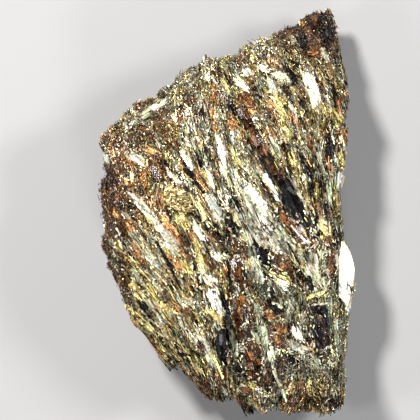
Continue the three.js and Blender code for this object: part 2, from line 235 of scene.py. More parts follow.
# the kinds of streak that stand out. "tone" goes from 0, the darkest of the finish, to 1; "toLight" turns
# the strips to mirror the key light and "toView" turns them up; "clear" is the share of small blades kept
# off, and "hold" the share of the others that take the streak's finish; "strip" and "stripLength" are the
# size of one crystal, and "roll" is how unevenly the crystals are turned
streakKinds = {
    "brown": {"finish": "amber", "tone": 0.38, "clear": 0.8, "hold": 0.8, "strip": 0.5, "stripLength": 1.3,
              "roll": 0.2},
    "orange": {"finish": "rust", "tone": 0.7, "clear": 0.1, "hold": 0.5, "strip": 0.18, "stripLength": 1.0,
               "roll": 0.4},
    "gold": {"finish": "gold", "tone": 0.75, "clear": 0.1, "hold": 0.6, "strip": 0.16, "stripLength": 1.2,
             "roll": 0.4},
    "cream": {"finish": "cream", "tone": 0.76, "clear": 0.3, "hold": 0.75, "strip": 0.2,
              "stripLength": 1.3, "roll": 0.3},
    "silk": {"finish": "bronze", "tone": 0.68, "clear": 0.5, "hold": 0.9, "strip": 0.17,
             "stripLength": 1.2, "roll": 0.3},
    "vein": {"finish": "green", "tone": 0.8, "clear": 0.1, "hold": 0.55, "strip": 0.14, "stripLength": 1.4,
             "roll": 0.3},
    "black": {"finish": "dark", "tone": 0.3, "toView": 0.5, "clear": 0.55, "hold": 0.85, "strip": 0.42,
              "stripLength": 2, "roll": 0.12},
    "glass": {"finish": "glass", "tone": 0.3, "toView": 0.85, "clear": 0.72, "hold": 0.9, "strip": 0.45,
              "stripLength": 3.6, "roll": 0.08},
    # crack strips are the darkest of the dark finish, laid along the cracks: painted shade inside them
    "crack": {"finish": "dark", "tone": 0.0, "clear": 0.9, "hold": 0.95, "strip": 0.15, "stripLength": 2,
              "roll": 0.1},
    # mirror strips are turned to the key light and also given the palest silver tone: partly a painted
    # highlight
    "mirror": {"finish": "silver", "tone": 0.95, "toLight": 1, "clear": 0.6, "hold": 0.75, "strip": 0.17,
               "stripLength": 1.5, "roll": 0.16},
    # plate strips take the near-white finish: a painted highlight where cleavage plates flash
    "plate": {"finish": "pearl", "tone": 0.85, "clear": 0.8, "hold": 0.9, "strip": 0.28, "stripLength": 2,
              "roll": 0.2},
}

# the streaks of the front face, as strokes
frontStrokes = {
    "brown": [
        (1.5, -5.0, 2.0, -9.1, 1.4), (5.1, 6.7, 6.2, 4.6, 0.7), (1.2, -9.7, 1.9, -13.4, 1.9),
        (5.9, -4.7, 8.2, -7.2, 1.8), (10.1, -1.8, 10.6, -3.9, 0.9), (11.8, -2.6, 12.6, -3.9, 1.1),
        (12.3, -4.8, 12.9, -7.6, 0.9), (5.8, -14.2, 7.2, -16.3, 1.5), (2.4, -15.2, 4.2, -19.5, 2.3),
        (-3.3, -14.7, -2.0, -17.7, 0.5), (-1.7, -1.8, -0.3, -3.0, 0.8), (6.4, 0.2, 10.5, -4.1, 1.6),
        (12.4, 18.7, 12.8, 17.9, 0.4), (-0.4, -18.1, -0.2, -20.4, 0.8), (1.6, -20.5, 2.7, -21.1, 0.8),
        (4.2, -20.8, 5.7, -21.4, 0.9), (1.8, 12.5, 5.0, 7.0, 1.1), (-14.3, -1.2, -12.7, -2.6, 1.0),
        (-8.8, 5.6, -7.8, 4.1, 0.8), (-11.7, -9.1, -10.7, -10.1, 0.6)],
    "orange": [
        (-1.5, 12.5, -1.0, 9.7, 0.7), (0.3, 10.8, 1.4, 10.5, 0.8), (5.1, 10.2, 5.5, 9.5, 0.5),
        (-9.6, 7.9, -8.3, 7.3, 0.7), (-12.0, 4.1, -11.3, 3.6, 0.5), (-13.3, 0.7, -12.7, -0.3, 0.6),
        (-11.1, -3.4, -9.5, -6.3, 0.6), (-3.3, 4.2, -2.6, 3.4, 0.5), (-4.2, -2.3, -3.7, -3.2, 0.5),
        (6.7, -0.5, 8.0, -1.8, 0.6), (9.3, 22.9, 9.9, 21.8, 0.6), (10.2, 19.2, 11.8, 19.9, 0.6),
        (2.1, 13.9, 3.6, 12.1, 0.8), (1.7, 18.4, 2.1, 17.7, 0.5), (6.3, -13.1, 6.9, -14.2, 0.9),
        (9.7, 8.8, 9.9, 7.9, 0.4), (6.4, 5.4, 6.9, 4.4, 0.35), (5.0, -11.5, 5.6, -12.4, 0.7),
        (13.4, 13.8, 13.6, 12.4, 0.5), (-7.1, -0.8, -5.3, -3.3, 0.6)],
    "gold": [
        (-6.0, 14.6, -5.5, 13.4, 0.5), (5.9, 13.9, 7.0, 11.4, 0.8), (6.7, 10.5, 8.0, 9.0, 0.6),
        (11.3, 13.2, 11.8, 12.0, 0.8), (7.7, 7.2, 8.1, 6.0, 0.7), (0.7, 7.9, 1.4, 6.0, 0.7),
        (-5.4, 0.1, -4.6, -1.7, 0.7), (-3.6, -3.2, -2.7, -6.7, 0.6), (-1.7, -11.5, 0.0, -13.2, 0.8),
        (-11.4, -5.7, -10.3, -6.7, 0.9), (-10.9, -8.3, -10.0, -10.0, 0.9), (-9.3, -8.5, -7.0, -11.7, 0.7),
        (-11.9, -11.0, -8.4, -13.9, 0.7), (-5.0, -6.0, -4.2, -6.8, 0.6), (-4.5, -16.0, -2.8, -18.6, 0.7),
        (-7.6, -15.8, -6.7, -16.4, 0.6), (11.4, -1.4, 12.4, -2.2, 0.8), (5.4, -7.0, 8.4, -8.2, 0.3),
        (9.9, -9.9, 12.1, -9.2, 0.4), (4.7, -21.2, 5.4, -21.8, 0.6), (3.0, -20.1, 3.6, -20.7, 0.6)],
    "cream": [
        (-11.7, 10.3, -9.6, 11.9, 0.9), (-9.9, 11.7, -7.0, 13.6, 0.8), (-4.4, 16.9, -4.3, 14.9, 0.8),
        (-4.9, 8.5, -3.8, 8.1, 0.5), (11.5, 19.5, 12.3, 18.2, 0.4), (2.2, 17.3, 2.6, 16.7, 0.5),
        (0.8, 17.4, 2.0, 15.8, 0.3), (5.1, 16.0, 5.7, 14.7, 0.7), (7.6, 13.1, 8.1, 12.4, 0.6),
        (5.4, 8.8, 6.0, 7.7, 0.6), (0.9, 9.4, 1.0, 8.4, 0.5), (7.2, 5.1, 10.2, 0.7, 0.4),
        (2.9, 1.6, 6.9, -4.4, 1.9), (1.7, 0.4, 4.0, -3.2, 1.1), (-2.0, 2.1, -0.8, -0.6, 0.8),
        (-11.3, 2.6, -5.6, -4.1, 0.9), (-6.8, 4.9, -5.2, 3.5, 0.5), (-14.3, 7.3, -13.9, 6.1, 0.4),
        (-12.1, 0.1, -11.5, -0.6, 0.5), (-11.1, 6.9, -9.6, 6.0, 0.9), (-9.3, -4.7, -7.8, -6.1, 0.8),
        (-7.4, -3.5, -5.4, -4.6, 0.6), (-9.1, -10.4, -7.8, -12.6, 0.7), (-2.6, -8.7, -2.2, -11.0, 0.3),
        (-3.0, -14.2, -1.4, -17.9, 0.6), (5.2, -0.6, 7.4, -3.3, 0.5), (3.9, -3.2, 4.9, -3.8, 0.6),
        (12.5, -0.4, 13.4, -1.8, 0.8), (13.8, 4.9, 13.5, 3.3, 0.8), (13.2, -4.7, 13.7, -7.8, 0.4),
        (14.9, -9.5, 14.7, -11.7, 0.6), (10.1, -10.9, 12.2, -10.6, 0.2), (10.5, -12.3, 12.1, -12.6, 0.2),
        (10.2, -4.5, 10.8, -6.9, 1.5), (7.4, -10.3, 8.1, -11.4, 0.3), (7.9, -15.5, 9.7, -16.4, 0.9),
        (11.2, 8.4, 10.7, 7.3, 0.6)],
    "vein": [
        (6.1, -1.2, 8.9, -5.0, 0.5), (8.9, -5.0, 9.7, -7.2, 0.45), (2.4, -2.3, 4.2, -7.8, 0.7),
        (1.4, -15.5, 1.4, -17.3, 0.25), (1.0, -17.6, 0.7, -19.6, 0.35), (0.7, -13.8, 1.0, -16.4, 0.6),
        (4.6, -13.4, 4.9, -15.6, 0.7), (5.2, -16.2, 6.0, -19.5, 0.35), (6.1, -19.5, 7.4, -22.3, 0.4),
        (3.4, -14.2, 4.7, -16.8, 0.5), (12.6, -10.3, 12.5, -12.1, 0.4), (5.4, -15.8, 6.0, -17.2, 0.4),
        (-1.2, -12.8, -1.0, -14.6, 0.5), (13.2, -13.0, 13.4, -17.0, 0.4), (10.9, 7.4, 11.6, 4.9, 0.5),
        (12.9, 6.4, 12.9, 3.4, 0.5), (12.3, 3.6, 12.6, 1.6, 0.4)],
    "black": [
        (3.8, 4.5, 5.7, 1.6, 0.35), (11.7, 23.5, 12.2, 21.1, 1.1), (8.6, 21.4, 9.4, 20.0, 0.9),
        (12.9, 15.3, 13.3, 12.6, 0.7), (7.9, 17.0, 8.2, 15.3, 0.7), (6.8, 15.3, 7.8, 13.8, 0.7),
        (8.8, 13.3, 9.4, 12.2, 0.5), (0.8, 12.8, 2.0, 11.4, 0.7), (12.4, 9.0, 12.6, 6.9, 0.8),
        (9.2, 6.8, 10.4, 2.7, 0.4), (11.2, 4.3, 11.6, 2.8, 0.6), (12.0, 1.2, 12.1, -0.2, 0.5),
        (10.6, 0.5, 10.8, -1.9, 0.5), (-4.9, 5.7, -3.8, 4.3, 0.6), (-3.6, 4.0, -2.4, 2.4, 0.35),
        (-2.0, 8.8, -1.5, 7.9, 0.5), (1.0, 1.6, 1.4, 0.9, 0.5), (-3.4, -0.3, -1.9, -1.2, 0.9),
        (0.1, -0.4, 1.2, -1.8, 1.0), (5.4, -10.5, 6.5, -11.7, 1.0), (5.2, -8.9, 5.6, -9.6, 0.7),
        (9.9, -7.8, 10.6, -9.6, 1.0), (7.4, -16.6, 8.4, -17.7, 0.9), (1.8, -17.9, 1.7, -19.0, 0.7),
        (2.4, -15.4, 3.1, -16.0, 0.7), (-4.0, -5.9, -2.9, -8.7, 0.45), (-10.3, -10.1, -8.2, -13.0, 0.6),
        (-5.7, -15.4, -4.6, -17.4, 0.6), (12.1, -22.3, 13.2, -22.7, 1.2)],
    "glass": [
        (4.6, 7.0, 7.2, 2.8, 1.5), (6.8, 3.6, 9.2, -0.8, 1.9), (8.8, 0.4, 10.4, -2.4, 1.4),
        (3.7, -3.9, 5.5, -6.2, 1.5), (11.2, -11.6, 11.6, -16.3, 1.8), (-0.6, -13.6, -0.3, -17.8, 1.25)],
    # dark strips along the cracks: painted shade inside them
    "crack": [
        (0.0, -4.7, 0.7, -8.1, 0.35), (-0.4, -9.4, 1.0, -13.8, 0.45), (0.1, -13.3, 1.0, -17.5, 0.2),
        (-8.1, -3.3, -5.2, -8.8, 0.25), (7.0, -2.7, 8.9, -6.0, 0.15), (-2.8, -3.3, -0.3, -3.4, 0.12),
        (5.1, -18.0, 5.9, -19.6, 0.12), (5.9, -19.6, 5.1, -20.7, 0.12)],
    "mirror": [
        (3.9, 17.7, 5.3, 17.0, 0.6), (5.8, 16.8, 6.9, 16.2, 0.6), (1.3, 15.7, 2.7, 14.7, 0.6),
        (-6.1, 11.8, -5.8, 10.9, 0.7), (-5.3, 7.5, -4.0, 5.5, 0.5), (-1.5, -4.5, -0.2, -5.6, 0.9),
        (-2.7, -6.9, -1.5, -8.3, 0.9), (5.6, -7.6, 7.2, -8.6, 0.7), (11.0, -0.8, 11.8, -0.9, 0.3)],
    "plate": [
        (9.9, 16.7, 10.8, 13.3, 1.3), (8.2, -13.7, 9.2, -15.2, 0.9), (-0.8, 9.1, -0.2, 6.3, 0.5),
        (-2.3, 5.2, -1.5, 3.0, 0.4), (4.8, 4.6, 6.3, 1.9, 0.7), (2.6, 3.4, 4.8, 0.5, 0.75),
        (-4.0, -1.0, -2.9, -2.9, 0.6), (-1.6, -9.6, -0.4, -11.6, 0.9), (4.5, -1.1, 6.3, -3.2, 0.9),
        (8.3, -2.2, 9.6, -3.3, 0.8)],
}

# a lens of silk: rows of fine fibres that cross the run of the blades
silk = {"middle": (-5.4, 1.5), "run": (-1.4, 2.0), "across": (1.1, 0.3), "fan": 0.5, "rows": 26,
        "width": 0.17}
# streaks scattered over the sides and the back
backStreaks = {"count": 150, "length": (1.5, 4.5), "width": (0.3, 1.3),
               "kinds": ["brown", "orange", "gold", "cream", "cream", "vein", "black", "black"]}


def silkStrokes():
    strokes = []
    for i in range(silk["rows"]):
        share = 2 * (i + 0.5) / silk["rows"] - 1
        reach = math.sqrt(1 - share * share)
        x, y = (silk["middle"][k] + silk["run"][k] * share for k in (0, 1))
        dx, dy = silk["across"][0] * reach, silk["across"][1] * reach + silk["fan"] * share * reach
        strokes.append((x - dx, y - dy, x + dx, y + dy, silk["width"]))
    return strokes


def streakList():
    # each streak's kind and stroke, and whether it lies on the front face
    strokes = [(kind, stroke) for kind in frontStrokes for stroke in frontStrokes[kind]]
    strokes += [("silk", stroke) for stroke in silkStrokes()]
    streaks = [{"kind": kind, "stroke": stroke, "front": True} for kind, stroke in strokes]
    spec = backStreaks
    spots = np.stack([spread(spec["count"], lowCorner[i], highCorner[i]) for i in (0, 1)], axis=1)
    grain = grainAt(np.column_stack([spots, np.full(len(spots), centre[2])]))[:, :2]
    half = spread(spec["count"], *spec["length"])[:, None] / 2 * grain
    for start, end, width in zip(spots - half, spots + half, spread(len(spots), *spec["width"])):
        kind = spec["kinds"][random.integers(len(spec["kinds"]))]
        streaks.append({"kind": kind, "stroke": (*start, *end, width), "front": False})
    return streaks


def lineOf(stroke):
    start, end = endsOf(stroke)
    return [*(end - start), 0]


def kindValues(key, outside):
    # what each streak's kind says, and last what holds outside the streaks
    return np.array([streakKinds[streak["kind"]].get(key, outside) for streak in streaks] + [outside])


streaks = streakList()
streakFinish = np.array([finishes.index(name) for name in kindValues("finish", finishes[0])])
streakTone = kindValues("tone", 0)
streakFlashes = kindValues("toLight", 0) == 1
streakHold = kindValues("hold", 0)
streakClear = kindValues("clear", 0)
streakLine = unit(np.array([lineOf(streak["stroke"]) for streak in streaks] + [[0, 1, 0]]))
streakEdge = (0.35, 0.65)  # how far a streak reaches to each side, as shares of its width


def streakAt(points):
    # the number of the streak that each point lies in, or -1; its edges are ragged
    owner = np.full(len(points), -1)
    ragged = spread(len(points), *streakEdge)
    for i, streak in enumerate(streaks):
        onFace = (points[:, 2] > faceSplit) == streak["front"]
        owner[onFace & (distanceTo(points, streak["stroke"]) < ragged * widthOf(streak["stroke"]))] = i
    return owner


# the crystals of each streak of the front face, as packs of strips. "lens" is the outline of a pack: half its
# width, how fast it tapers, the least width left at the ends, and a little more for packs of few rows
packSpec = {
    "proud": 0.2, "uneven": 0.16,  # how far strips stand above the mass
    "steepest": 0.65,  # a strip that would rise by more than this share of its length is left out
    "felt": 0.4,  # how far to both sides of its middle a strip feels the ground, as a share of its length
    "faceUp": 0.3,  # how much strips face up more than the ground under them
    "lens": (0.52, 3.2, 0.05, 0.1), "stagger": 0.5, "overlap": (0.9, 1.5), "widths": (1, 1.4),
    "steep": (1.4, 0.4),  # strips on steep ground are wider: how late it starts, and the limit
    "thick": 0.4, "flashThick": 0.7, "tones": 0.17, "shiftShare": 0.6,
}
feelers = ((0, 0), (0.4, 0.2), (-0.4, -0.2), (0.2, -0.4), (-0.2, 0.4))  # around a place
aboveAll = 30  # a height over the whole mass


def settled(surface, place):
    # the point of the front face under a place in the plan, and the normal there, evened over the furrows
    heights, normals = [], []
    for x, y in feelers:
        start = Vector((place[0] + x, place[1] + y, aboveAll)) * mm
        point, normal, *rest = surface.ray_cast(start, Vector((0, 0, -1)))
        if point is not None:
            heights.append(point.z / mm)
            normals.append(normal)
    if not heights:
        nearest, normal, *rest = surface.find_nearest(Vector((*place, centre[2])) * mm)
        return np.array([*place, nearest.z / mm]), np.array(normal)
    return np.array([*place, (np.mean(heights) + max(heights)) / 2]), unit(np.sum(normals, axis=0)[None])[0]


def groundsUnder(surface, plan, runs, lengths):
    # the ground near both ends and in the middle of each strip, and the normal in the middle
    strips = list(zip(plan, runs, lengths))
    grounds = [[settled(surface, place + run * length * side) for place, run, length in strips]
               for side in (-packSpec["felt"], 0, packSpec["felt"])]
    low, middle, high = (np.array([ground[0] for ground in side]) for side in grounds)
    return low, middle, high, np.array([ground[1] for ground in grounds[1]])


def notSteep(low, high, length):
    return np.abs(high[:, 2] - low[:, 2]) < packSpec["steepest"] * length


def packOfStrips(streak, surface):
    # rows of strips that fill the lens shape of the streak, each laid on the mass
    spec, kind, wide = packSpec, streakKinds[streak["kind"]], widthOf(streak["stroke"])
    start, end = endsOf(streak["stroke"])
    fullLength = np.linalg.norm(start - end)
    run = (start - end) / fullLength
    rows = max(1, round(wide / kind["strip"]))
    steps = max(1, round(fullLength / kind["stripLength"]))
    across, share = (grid.ravel() for grid in np.meshgrid((np.arange(rows) + 0.5) / rows - 0.5,
                                                          (np.arange(steps) + 0.5) / steps - 0.5))
    share = share + around(len(share), spec["stagger"]) / steps
    half, taper, leastWide, extra = spec["lens"]
    inside = np.abs(across) < half * np.sqrt(np.clip(1 - taper * share ** 2, leastWide, 1)) + extra / rows
    across, share = across[inside], share[inside]
    count = len(across)
    length = fullLength / steps * spread(count, *spec["overlap"])
    plan = (start + end) / 2 + np.outer(across * wide, [-run[1], run[0]]) + np.outer(share * fullLength, run)
    low, middle, high, normals = groundsUnder(surface, plan, np.tile(run, (count, 1)), length)
    toLight, toView = kind.get("toLight", 0), kind.get("toView", 0)
    outward = (1 - toLight - toView) * unit(normals + spec["faceUp"] * upward)
    outward = outward + toLight * glance + toView * upward
    along = unit(high - low + tiny * upward)
    outward = unit(outward + random.normal(size=(count, 3)) * kind["roll"])
    if toLight:
        along = unit(along - outward * dots(along, outward)[:, None])
    width = wide / rows * spread(count, *spec["widths"])
    width /= np.clip(spec["steep"][0] * normals[:, 2], spec["steep"][1], 1)
    depth = np.full(count, spec["flashThick"]) if toLight else np.minimum(width, spec["thick"])
    lifted = spec["proud"] + around(count, spec["uneven"]) - depth / 2
    tone = kind["tone"] + random.normal(size=count) * spec["tones"] + spec["shiftShare"] * toneAndPaintedShadeAt(middle)
    strips = {"middle": (low + high + 2 * middle) / 4 + normals * lifted[:, None], "along": along,
              "outward": outward, "spot": middle, "size": np.stack([length, width, depth], axis=1),
              "tone": np.clip(tone, 0, 1), "finish": np.full(count, finishes.index(kind["finish"]))}
    return part(strips, notSteep(low, high, length))


# the pale net around the windows of the foot: thin strips scattered along the outline of each window's
# lens. "long" and "wide" say how much longer and wider the outline is than the window, "slant" how far it
# leans over, and "covered" how much of it the strips would cover end to end
rimSpec = {
    "kinds": ["glass", "brown", "black"], "below": -1.5,
    "long": 1.04, "wide": (1.05, 1.25), "slant": 0.5, "reach": (0.72, 1.16, 0.6), "wander": 0.1,
    "strip": 0.28, "lengths": (1.0, 2.4, 2), "width": (0.06, 0.16), "proud": 0.04,
    "covered": 0.8, "fewest": 6, "turn": 0.45, "roll": 0.3, "tones": (0.6, 1.0),
    "finishes": ["green", "silver", "cream", "cream", "gold"],
}


def rimOfStrips(streak, surface):
    spec = rimSpec
    start, end = endsOf(streak["stroke"])
    half, wide = (end - start) / 2 * spec["long"], widthOf(streak["stroke"])
    side = np.array([-half[1], half[0]]) / np.linalg.norm(half) * wide / 2 * spread(1, *spec["wide"])
    side += half * around(1, spec["slant"])
    outline = 2 * math.pi * math.hypot(*half) * spec["covered"]
    count = max(spec["fewest"], round(outline / spec["strip"]))
    turns = random.random(count) * 2 * math.pi
    reaches = spread(count, *spec["reach"])[:, None]
    plan = (start + end) / 2 + reaches * (np.outer(np.cos(turns), half) + np.outer(np.sin(turns), side))
    plan += random.normal(size=(count, 2)) * spec["wander"]
    bends = turns + random.normal(size=count) * spec["turn"]
    runs = unit(np.outer(-np.sin(bends), half) + np.outer(np.cos(bends), side))
    length = spec["strip"] * spread(count, *spec["lengths"])
    low, middle, high, normals = groundsUnder(surface, plan, runs, length)
    width = spread(count, *spec["width"])
    lifted = packSpec["proud"] + spec["proud"]
    outward = normals + packSpec["faceUp"] * upward + random.normal(size=(count, 3)) * spec["roll"]
    strips = {"middle": (low + high + 2 * middle) / 4 + normals * lifted, "along": unit(high - low),
              "outward": unit(outward), "spot": middle, "size": np.stack([length, width, width], axis=1),
              "tone": spread(count, *spec["tones"]),
              "finish": random.choice([finishes.index(name) for name in spec["finishes"]], size=count)}
    return part(strips, notSteep(low, high, length))


def allPacks():
    surface = BVHTree.FromObject(massPiece, bpy.context.evaluated_depsgraph_get())
    front = [streak for streak in streaks if streak["front"]]
    packs = [packOfStrips(streak, surface) for streak in front]
    packs += [rimOfStrips(streak, surface) for streak in front
              if streak["kind"] in rimSpec["kinds"] and streak["stroke"][3] < rimSpec["below"]]
    return {key: np.concatenate([pack[key] for pack in packs]) for key in packs[0]}


def meshLists(bm):
    bm.verts.ensure_lookup_table()
    corners = np.array([vert.co[:] for vert in bm.verts])
    faces = [[vert.index for vert in face.verts] for face in bm.faces]
    bm.free()
    return corners, faces


# a strip in a 1 x 1 x 1 box: where it is cut across, the width and depth of both ends, and how far they slant
stripShape = {"cuts": (-0.3, -0.05, 0.2, 0.36), "tip": (0.3, 0.35), "butt": (0.5, 0.6), "slant": 0.1}


def stripTemplate():
    # a lath along X in the box, thinned to a chisel at one end
    bm = bmesh.new()
    bmesh.ops.create_cube(bm, size=1)
    for cut in stripShape["cuts"]:
        bmesh.ops.bisect_plane(bm, geom=bm.verts[:] + bm.edges[:] + bm.faces[:], plane_co=(cut, 0, 0),
                               plane_no=(1, 0, 0))
    for vert in bm.verts:
        x, y, z = vert.co
        if abs(x) > 0.49:  # the corners of both ends
            width, depth = stripShape["tip"] if x > 0 else stripShape["butt"]
            slant = math.copysign(stripShape["slant"], x)
            vert.co = (x - slant * (y > 0), y * width + slant, z * depth)
    return meshLists(bm)


# a splinter's radius at both ends, and the splinters of a bundle in its 1 x 1 x 1 box
splinterShape = {"butt": 0.58, "tip": 0.3}
bundleSplinters = [
    {"length": 0.95, "width": 0.3, "at": (0.02, -0.02, 0.0), "turn": 0.01},
    {"length": 0.7, "width": 0.26, "at": (-0.14, 0.24, -0.1), "turn": -0.03},
    {"length": 0.62, "width": 0.28, "at": (0.16, -0.27, -0.06), "turn": 0.03},
    {"length": 0.4, "width": 0.2, "at": (0.26, 0.3, -0.2), "turn": 0.02},
]


def addSplinter(bm, length=1.0, width=1.0, at=(0, 0, 0), turn=0.0):
    # a three-sided splinter along X with its flat side up and one end narrower
    made = bmesh.ops.create_cone(bm, cap_ends=True, segments=3, radius1=splinterShape["butt"],
                                 radius2=splinterShape["tip"], depth=1)
    verts = made["verts"]
    layDown = Matrix.Rotation(math.radians(-90), 3, "X") @ Matrix.Rotation(math.radians(90), 3, "Y")
    bmesh.ops.rotate(bm, verts=verts, cent=(0, 0, 0), matrix=layDown)
    bmesh.ops.scale(bm, verts=verts, vec=(length, width, 1))
    bmesh.ops.rotate(bm, verts=verts, cent=(0, 0, 0), matrix=Matrix.Rotation(turn, 3, "Z"))
    bmesh.ops.translate(bm, verts=verts, vec=at)


def splinterTemplate():
    bm = bmesh.new()
    addSplinter(bm)
    return meshLists(bm)


def bundleTemplate():
    # four splinters lying side by side, their ends at different places
    bm = bmesh.new()
    for spec in bundleSplinters:
        addSplinter(bm, **spec)
    return meshLists(bm)


flakeShape = {"radius": 0.6, "merge": 0.001}


def flakeTemplate():
    # a flake in a 1 x 1 x 1 box: a flat three-cornered face over a point
    bm = bmesh.new()
    bmesh.ops.create_cone(bm, cap_ends=True, segments=3, radius1=0, radius2=flakeShape["radius"], depth=1)
    bmesh.ops.remove_doubles(bm, verts=bm.verts[:], dist=flakeShape["merge"])
    return meshLists(bm)


def trianglesOf(mesh):
    return sum(len(face.vertices) - 2 for face in mesh.polygons)


def setPointValues(mesh, label, values):
    mesh.attributes.new(label, "FLOAT", "POINT").data.foreach_set("value", values.astype(np.float32))


def addPiece(name, mesh, material):
    piece = bpy.data.objects.new(name, mesh)
    bpy.context.scene.collection.objects.link(piece)
    mesh.materials.clear()
    mesh.materials.append(material)
    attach(piece, "root")
    return piece


boxSlack = np.array([0.35, 0.6, 0.25])  # how far a blade may stand past the solid's box
uvScatter = 40  # how far the patches of the UV map are strewn, so that no two blades have the same lines


def joinedMesh(name, template, blades):
    # every copy of the template turned, scaled and placed, joined in one mesh
    corners, faces = template
    sides = unit(np.cross(blades["outward"], blades["along"]))
    ups = np.cross(blades["along"], sides)
    basis = np.stack([blades["along"], sides, ups], axis=2) * blades["size"][:, None, :]
    points = np.einsum("nij,mj->nmi", basis, corners) + blades["middle"][:, None, :]
    points = np.clip(points.reshape(-1, 3), lowCorner - boxSlack * [1, 1, 0], highCorner + boxSlack)
    count, perCopy = len(blades["middle"]), len(corners)
    loopsOfOne = np.concatenate(faces)
    loops = (loopsOfOne[None, :] + np.arange(count)[:, None] * perCopy).ravel()
    totals = np.tile([len(face) for face in faces], count)
    starts = np.concatenate([[0], np.cumsum(totals)[:-1]])
    mesh = bpy.data.meshes.new(name)
    mesh.vertices.add(len(points))
    mesh.vertices.foreach_set("co", (points * mm).ravel())
    mesh.loops.add(len(loops))
    mesh.loops.foreach_set("vertex_index", loops.astype(np.int32))
    mesh.polygons.add(len(totals))
    mesh.polygons.foreach_set("loop_start", starts.astype(np.int32))
    mesh.polygons.foreach_set("loop_total", totals.astype(np.int32))
    mesh.update(calc_edges=True)
    setPointValues(mesh, "tone", np.repeat(blades["tone"], perCopy))
    setPointValues(mesh, "tint", np.repeat(random.random(count), perCopy))
    uv = (corners[:, :2] + 0.5)[loopsOfOne] * blades["size"][:, None, :2]
    uv = uv + random.random((count, 1, 2)) * uvScatter
    mesh.uv_layers.new(name="UVMap").data.foreach_set("uv", uv.reshape(-1).astype(np.float32))
    mesh.validate()
    mesh.shade_flat()
    return mesh


def addBlades(suffix, template, blades):
    # one piece for each finish of the set
    total = 0
    for i, name in enumerate(finishes):
        own = part(blades, blades["finish"] == i)
        if len(own["spot"]):
            mesh = joinedMesh(name + suffix, template, own)
            addPiece(name + suffix, mesh, materials[name])
            total += trianglesOf(mesh)
    print("  " + suffix, total, "triangles")


# the cleavage plates that bulge past the right edge: a pile of lens-shaped sheets, lowest first, each with
# its finish, the ends of its lens, its bulge, its height and its tilt. The upper sheets are near white, a
# painted highlight where the plates flash, and the cream sheets under them paint its paler rim. "bow" is how
# far the bulge lies to one end and how full it is; "inner" is the line in the mass where a sheet ends, and
# "inset" how much shorter it is there
edgeSheets = {
    "inner": 13.6, "inset": (0.8, 1.2), "thick": 0.3, "steps": 10, "ragged": 0.36, "bow": (0.85, 0.75),
    "bevel": 0.05, "tone": 0.8, "tint": 0.5,
    "sheets": [
        ("cream", (14.2, -3.7, 14.9, -12.0), 0.75, 7.0, (0.05, 0.03)),
        ("cream", (14.3, -4.6, 14.7, -10.8), 0.9, 7.4, (0.09, 0.0)),
        ("cream", (14.1, -3.3, 14.8, -11.3), 1.05, 7.8, (0.12, -0.02)),
        ("pearl", (14.2, -4.2, 14.6, -10.1), 1.0, 8.15, (0.14, 0.01)),
        ("pearl", (14.0, -3.2, 14.7, -11.0), 1.15, 8.5, (0.16, 0.0)),
        ("pearl", (14.0, -3.7, 14.6, -10.3), 0.95, 8.75, (0.18, 0.01)),
        ("pearl", (13.9, -4.3, 14.4, -9.4), 0.65, 9.0, (0.2, 0.02)),
    ],
}


def addSheet(bm, line, bulge, height, tilt):
    spec = edgeSheets
    start, end = endsOf(line)
    shares = np.linspace(0, 1, spec["steps"])
    rim = start + np.outer(shares, end - start)
    rim[:, 0] += bulge * np.sin(np.pi * shares ** spec["bow"][0]) ** spec["bow"][1]
    rim[1:-1] += around((spec["steps"] - 2, 2), spec["ragged"])
    corners = [*rim, (spec["inner"], end[1] + spec["inset"][1]), (spec["inner"], start[1] - spec["inset"][0])]
    middle = (start + end) / 2
    verts = []
    for x, y in corners:
        rise = (x - middle[0]) * -tilt[0] + (y - middle[1]) * -tilt[1]
        verts.append(bm.verts.new((x * mm, y * mm, (height + rise) * mm)))
    made = bmesh.ops.extrude_face_region(bm, geom=[bm.faces.new(verts)])
    sunk = [item for item in made["geom"] if isinstance(item, bmesh.types.BMVert)]
    bmesh.ops.translate(bm, verts=sunk, vec=(0, 0, -spec["thick"] * mm))


def addEdgeSheets(finish):
    bm = bmesh.new()
    for sheetFinish, *sheet in edgeSheets["sheets"]:
        if sheetFinish == finish:
            addSheet(bm, *sheet)
    bmesh.ops.recalc_face_normals(bm, faces=bm.faces[:])
    bmesh.ops.bevel(bm, geom=bm.edges[:], offset=edgeSheets["bevel"] * mm, segments=1, affect="EDGES")
    bmesh.ops.triangulate(bm, faces=[face for face in bm.faces if len(face.verts) > 4])
    uvLayer = bm.loops.layers.uv.new("UVMap")
    for face in bm.faces:
        for loop in face.loops:
            loop[uvLayer].uv = (loop.vert.co.y / mm, loop.vert.co.x / mm)
    mesh = bpy.data.meshes.new(finish + "Sheets")
    bm.to_mesh(mesh)
    bm.free()
    for label in ("tone", "tint"):
        setPointValues(mesh, label, np.full(len(mesh.vertices), edgeSheets[label]))
    mesh.shade_flat()
    addPiece(finish + "Sheets", mesh, materials[finish])


def newGroup(name, inputs, outputs):
    group = bpy.data.node_groups.new(name, "ShaderNodeTree")
    for label, kind, value in inputs:
        group.interface.new_socket(name=label, in_out="INPUT", socket_type=kind).default_value = value
    for label, kind in outputs:
        group.interface.new_socket(name=label, in_out="OUTPUT", socket_type=kind)
    return group, group.nodes.new("NodeGroupInput"), group.nodes.new("NodeGroupOutput")


def groupNode(tree, group, label=None, value=None):
    node = tree.nodes.new("ShaderNodeGroup")
    node.node_tree = group
    if label:
        node.inputs[label].default_value = value
    return node


def attributeNode(tree, label):
    node = tree.nodes.new("ShaderNodeAttribute")
    node.attribute_name = label
    return node.outputs["Fac"]


def mathNode(tree, operation, *values):
    node = tree.nodes.new("ShaderNodeMath")
    node.operation = operation
    for i, value in enumerate(values):
        if isinstance(value, (int, float)):
            node.inputs[i].default_value = value
        else:
            tree.links.new(value, node.inputs[i])
    return node.outputs[0]


def shifted(tree, value, mark, reach):
    # a value moved up and down by a mark that goes from 0 to 1
    return mathNode(tree, "ADD", value, mathNode(tree, "MULTIPLY_ADD", mark, reach, -reach / 2))


